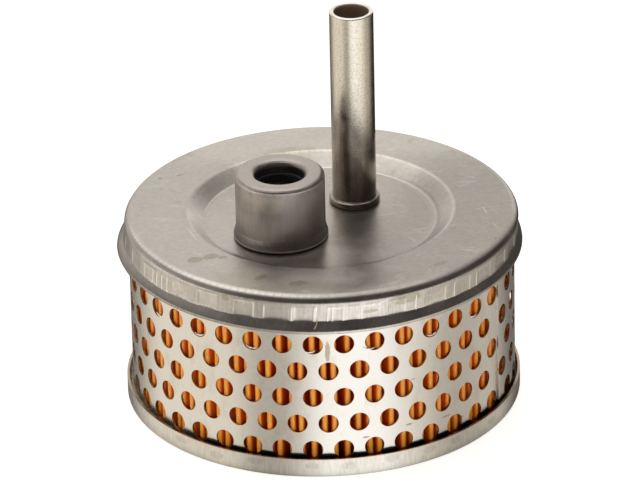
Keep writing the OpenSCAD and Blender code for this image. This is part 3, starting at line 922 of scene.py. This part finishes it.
burr_glint_finish, surface = finish_tree("burr_glint")
wire(surface, Metallic=0.3, Base_Color=(0.88, 0.87, 0.84, 1), Roughness=0.30)
TOP_ROW_Z = 30.62                       # height of the top row that shows its lower edges
BURR_R = 40.66                          # distance of the burrs from the axis
CURL_R = 2.1 * 0.93                     # they curl in front of the holes' edges
for number, azimuth in enumerate((-56.3, -39.1, -21.1, -4.1, 13.7, 33.3, 50.7)):
    line, radii = [], []
    for i in range(13):
        share = i / 12
        spin = math.radians(-90 + (share - 0.5) * (74 + 9 * (number % 3))
                            + 14 * ((number % 2) - 0.5))
        turn = math.radians(azimuth) + CURL_R * math.cos(spin) / BURR_R
        line.append(Vector((BURR_R * math.sin(turn), -BURR_R * math.cos(turn),
                            TOP_ROW_Z + CURL_R * math.sin(spin))))
        radii.append(0.02 + 0.14 * math.sin(math.pi * share))
    thin_tube(f"burr_{number}", line, radii, burr_glint_finish)

fibre_finish, surface = finish_tree("fibre")
wire(surface, Base_Color=(0.34, 0.32, 0.22, 1), Roughness=0.8)
line = [Vector((-1.75 + 0.5 * t + 0.25 * math.sin(3 * t), -42.05 - 0.75 * (1 - t), 35.2 + 1.7 * t))
        for t in (i / 8 for i in range(9))]
thin_tube("fibre", line, [0.10] * 9, fibre_finish)
print("burrs and fibre made")

# %% [markdown]
# ## Adhesive and rubber
# The adhesive that holds the paper in the caps is an olive-brown resin. The seal in the
# boss is black moulded rubber.

# %% Adhesive and rubber
glue_finish, surface = finish_tree("cured_adhesive")
where, x, y, z = millimetres()
lumps = noise(where, 1.5, 4, 0.6)
glue = blend(ramp(lumps, 0.35, 0.65), (0.30, 0.26, 0.15, 1), (0.62, 0.56, 0.40, 1))
# Painted shade of the narrow gap under the guard, drawn as old oil: the adhesive is near black in
# front and on the right.
front_gap_shade = times(ramp(x, -32, -18), ramp(y, 25, 5))       # old oil, in front
glue = overlaid(glue, (front_gap_shade, 0.95, GAP_SHADE))
wire(surface, Base_Color=glue, Roughness=0.45, Normal=bumps(lumps, 0.15))
rubber_finish, surface = finish_tree("seal_rubber")
where = millimetres()[0]
tone_shift = ramp(noise(where, 2.0, 3), 0.3, 0.7, 0.7, 1.3)
wire(surface, Base_Color=scaled((0.03, 0.03, 0.03, 1), tone_shift), Roughness=0.55,
     Normal=bumps(noise(where, 9.0, 2), 0.02))
for name in ("bottom_potting", "top_potting"):
    dress(nodes[name], glue_finish)
dress(nodes["inlet_seal"], rubber_finish)

# %% [markdown]
# ## Pleated paper
# The filter paper is soaked in an orange resin and folded. The ring has 106 places: 105
# pleats, and the side seam in the last. One pleat is an easy mesh: a sheet that runs out,
# turns round and runs back. Geometry Nodes set 105 of them in a ring and then push the folds
# a little out of line with soft noise, because no folding machine is exact and the light in
# the holes shows it.

# %% Resin-cured paper
paper_finish, surface = finish_tree("filter_paper")
where = millimetres()[0]
fibre = streaky(where, (3.0, 3.0, 0.8), 4, 0.65)
cloud = noise(where, 0.25, 3, 0.5)
# The crests are painted paler and the deep folds darker and redder: painted light and shade of the
# folds.
crest = put("ShaderNodeAttribute", attribute_name="crest").outputs["Fac"]
deep = blend(ramp(cloud, 0.3, 0.7), (0.57, 0.082, 0.003, 1), (0.68, 0.12, 0.005, 1))
paper = blend(crest, deep, (0.80, 0.335, 0.043, 1))
paper = scaled(paper, ramp(fibre, 0.25, 0.75, 0.88, 1.08))
# The faint emission is a painted glow in the shaded folds, though the paper is no lamp.
wire(surface, Base_Color=paper, Roughness=0.38, Normal=bumps(fibre, 0.04),
     Emission_Color=(0.60, 0.07, 0.002, 1), Emission_Strength=0.03)      # light soaks through

# %% One pleat as a mesh
PLACES = 106                            # in the ring, for the pleats and the seam
PAPER, FOLD = 0.5, 0.42                 # the paper's thickness and the folds' radius
OUT_R, IN_R = 39.43, 30.17              # centres of the outer and of the inner folds
PAPER_LOW, PAPER_HIGH = 2.9, 39.0
HALF = math.pi / PLACES


def pleat_line():
    """Middle line of one pleat along +X, from the bottom of one valley to the next."""
    low = Vector((math.cos(HALF), math.sin(HALF))) * IN_R
    valley = [low + Vector((math.cos(a), math.sin(a))) * FOLD
              for a in (HALF - math.pi + math.pi / 2 * i / 4 for i in range(5))]
    flank = [valley[-1].lerp(Vector((OUT_R, FOLD)), (i + 1) / 4) for i in range(4)]
    crest = [Vector((OUT_R + FOLD * math.cos(a), FOLD * math.sin(a)))
             for a in (math.pi / 2 - math.pi / 2 * (i + 1) / 6 for i in range(6))]
    right = valley + flank + crest
    return [Vector((p.x, -p.y)) for p in right] + right[-2::-1]


def strip_mesh(name, line, thickness, low, high, levels):
    """A standing sheet of a thickness along a line, from low to high, as a closed mesh."""
    outer, inner = both_sides(line, thickness)
    loop = outer + inner[::-1]
    count = len(loop)
    work = bmesh.new()
    rings = [[work.verts.new((p.x * MM, p.y * MM, (low + (high - low) * k / levels) * MM))
              for p in loop] for k in range(levels + 1)]
    bridge_rings(work, rings)
    for ring in (rings[0], rings[-1]):
        for i in range(len(line) - 1):
            work.faces.new((ring[i], ring[i + 1], ring[count - 2 - i], ring[count - 1 - i]))
    return keep_closed(work, bpy.data.meshes.new(name))


pleat = strip_mesh("one_pleat", pleat_line(), PAPER, PAPER_LOW, PAPER_HIGH, 7)
# Painted light: a pale share on the crests, stored as the crest attribute.
pleat.attributes.new("crest", "FLOAT", "POINT").data.foreach_set(   # paler on the crests
    "value", [rise(math.hypot(v.co.x, v.co.y) / MM, 39.60, 40.12) for v in pleat.vertices])
print("faces of one pleat:", len(pleat.polygons))

# %% A tree that sets pleats in a ring
ring_tree = tree = bpy.data.node_groups.new("pleat_ring", "GeometryNodeTree")
sockets = tree.interface
sockets.new_socket("Geometry", in_out="INPUT", socket_type="NodeSocketGeometry")
inputs = {}
for label, kind in (("Count", "Int"), ("Sideways", "Float"), ("Depth", "Float"),
                    ("Lean", "Float"), ("Seed", "Int"), ("Finish", "Material")):
    inputs[label] = sockets.new_socket(label, in_out="INPUT",
                                       socket_type="NodeSocket" + kind).identifier
sockets.new_socket("Geometry", in_out="OUTPUT", socket_type="NodeSocketGeometry")

given = tree.nodes.new("NodeGroupInput").outputs
spots = put("GeometryNodePoints", {0: minus(given["Count"], 1.0)})
index = put("GeometryNodeInputIndex").outputs[0]
share = calc("DIVIDE", plus(index, 1.0), given["Count"])
spin = put("ShaderNodeCombineXYZ", {2: plus(times(share, 2 * math.pi), math.pi / 2)})
copies = put("GeometryNodeInstanceOnPoints",
             {"Points": spots.outputs[0], "Instance": given["Geometry"],
              "Rotation": spin.outputs[0]})
named = put("GeometryNodeStoreNamedAttribute",
            {"Geometry": copies.outputs[0], "Name": "pleat", "Value": index},
            data_type="INT", domain="INSTANCE")
real = put("GeometryNodeRealizeInstances", {0: named.outputs[0]})
own = put("GeometryNodeInputNamedAttribute", {"Name": "pleat"}, data_type="INT").outputs[0]


def any_value(low, high, extra):
    """A random number for each pleat."""
    return put("FunctionNodeRandomValue",
               {2: low, 3: high, "ID": own, "Seed": plus(given["Seed"], extra)},
               data_type="FLOAT").outputs[1]


spot_at = put("GeometryNodeInputPosition").outputs[0]
xyz = put("ShaderNodeSeparateXYZ", {0: spot_at}).outputs
flat_at = put("ShaderNodeCombineXYZ", {0: xyz[0], 1: xyz[1]}).outputs[0]
radius = gauge("LENGTH", flat_at)
outward = put("ShaderNodeVectorMath", {0: flat_at}, operation="NORMALIZE").outputs[0]
sideward = vec("CROSS_PRODUCT", outward, (0, 0, 1))
loose = ramp(radius, 31 * MM, 39 * MM)  # the inner folds stay where they are
height = ramp(xyz[2], PAPER_LOW * MM, PAPER_HIGH * MM, -1.0, 1.0)
wave = minus(noise(spot_at, 90.0, 1), 0.5)
side = plus(times(any_value(-1.0, 1.0, 0), given["Sideways"]),
            times(any_value(-1.0, 1.0, 1), height, given["Lean"]), times(wave, 0.4 * MM))
deep = times(any_value(-1.0, 0.0, 2), given["Depth"])
shift = vec("ADD", scaled(sideward, times(side, loose)), scaled(outward, times(deep, loose)))
moved = put("GeometryNodeSetPosition", {"Geometry": real.outputs[0], "Offset": shift})
coloured = put("GeometryNodeSetMaterial",
               {"Geometry": moved.outputs[0], "Material": given["Finish"]})
result = tree.nodes.new("NodeGroupOutput")
tree.links.new(coloured.outputs[0], result.inputs[0])
print("nodes in the pleat tree:", len(tree.nodes))


# %% Run the tree once and keep a plain mesh
def made_plain(name, mesh, group, values):
    """Runs a Geometry Nodes tree on a mesh and returns a plain object of the result."""
    piece = add_object(name, mesh)
    step = piece.modifiers.new("tree", "NODES")
    step.node_group = group
    for identifier, value in values.items():
        step[identifier] = value
    graph = bpy.context.evaluated_depsgraph_get()
    plain = bpy.data.meshes.new_from_object(piece.evaluated_get(graph), depsgraph=graph)
    piece.modifiers.remove(step)
    plain.name = name
    piece.data = plain
    return piece


folds = made_plain("paper_folds", pleat, ring_tree,
                   {inputs["Count"]: PLACES, inputs["Sideways"]: 0.30 * MM,
                    inputs["Depth"]: 0.5 * MM, inputs["Lean"]: 0.16 * MM,
                    inputs["Seed"]: 4, inputs["Finish"]: paper_finish})
folds.data.shade_smooth()
print("paper folds:", len(folds.data.polygons), "faces, materials", len(folds.data.materials))

# %% The two end flaps in the seam clip
FLAP_SIDE = 0.3                         # mm from the middle of the seam to that of a flap
valley = pleat_line()[-5:]
line = [Vector((along, FLAP_SIDE)) for along in (39.75, 36.0, 33.4)] + valley
work = bmesh.new()
for side in (-1, 1):
    bent = [Vector((p.x, p.y * side)) for p in line]
    work.from_mesh(strip_mesh("flap", bent[::side], PAPER, PAPER_LOW, PAPER_HIGH, 1))
for vertex in work.verts:               # the seam is at the back, on +Y
    vertex.co = Vector((-vertex.co.y, vertex.co.x, vertex.co.z))
flaps = add_object("seam_flaps", keep_closed(work, bpy.data.meshes.new("seam_flaps")))
dress(flaps, paper_finish)
for piece in (folds, flaps):
    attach(piece, "root")
    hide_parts("pleated_media")

# %% [markdown]
# ## View transform
# The picture is shown with the standard view transform.

# %% Standard view transform
bpy.context.scene.view_settings.view_transform = "Standard"
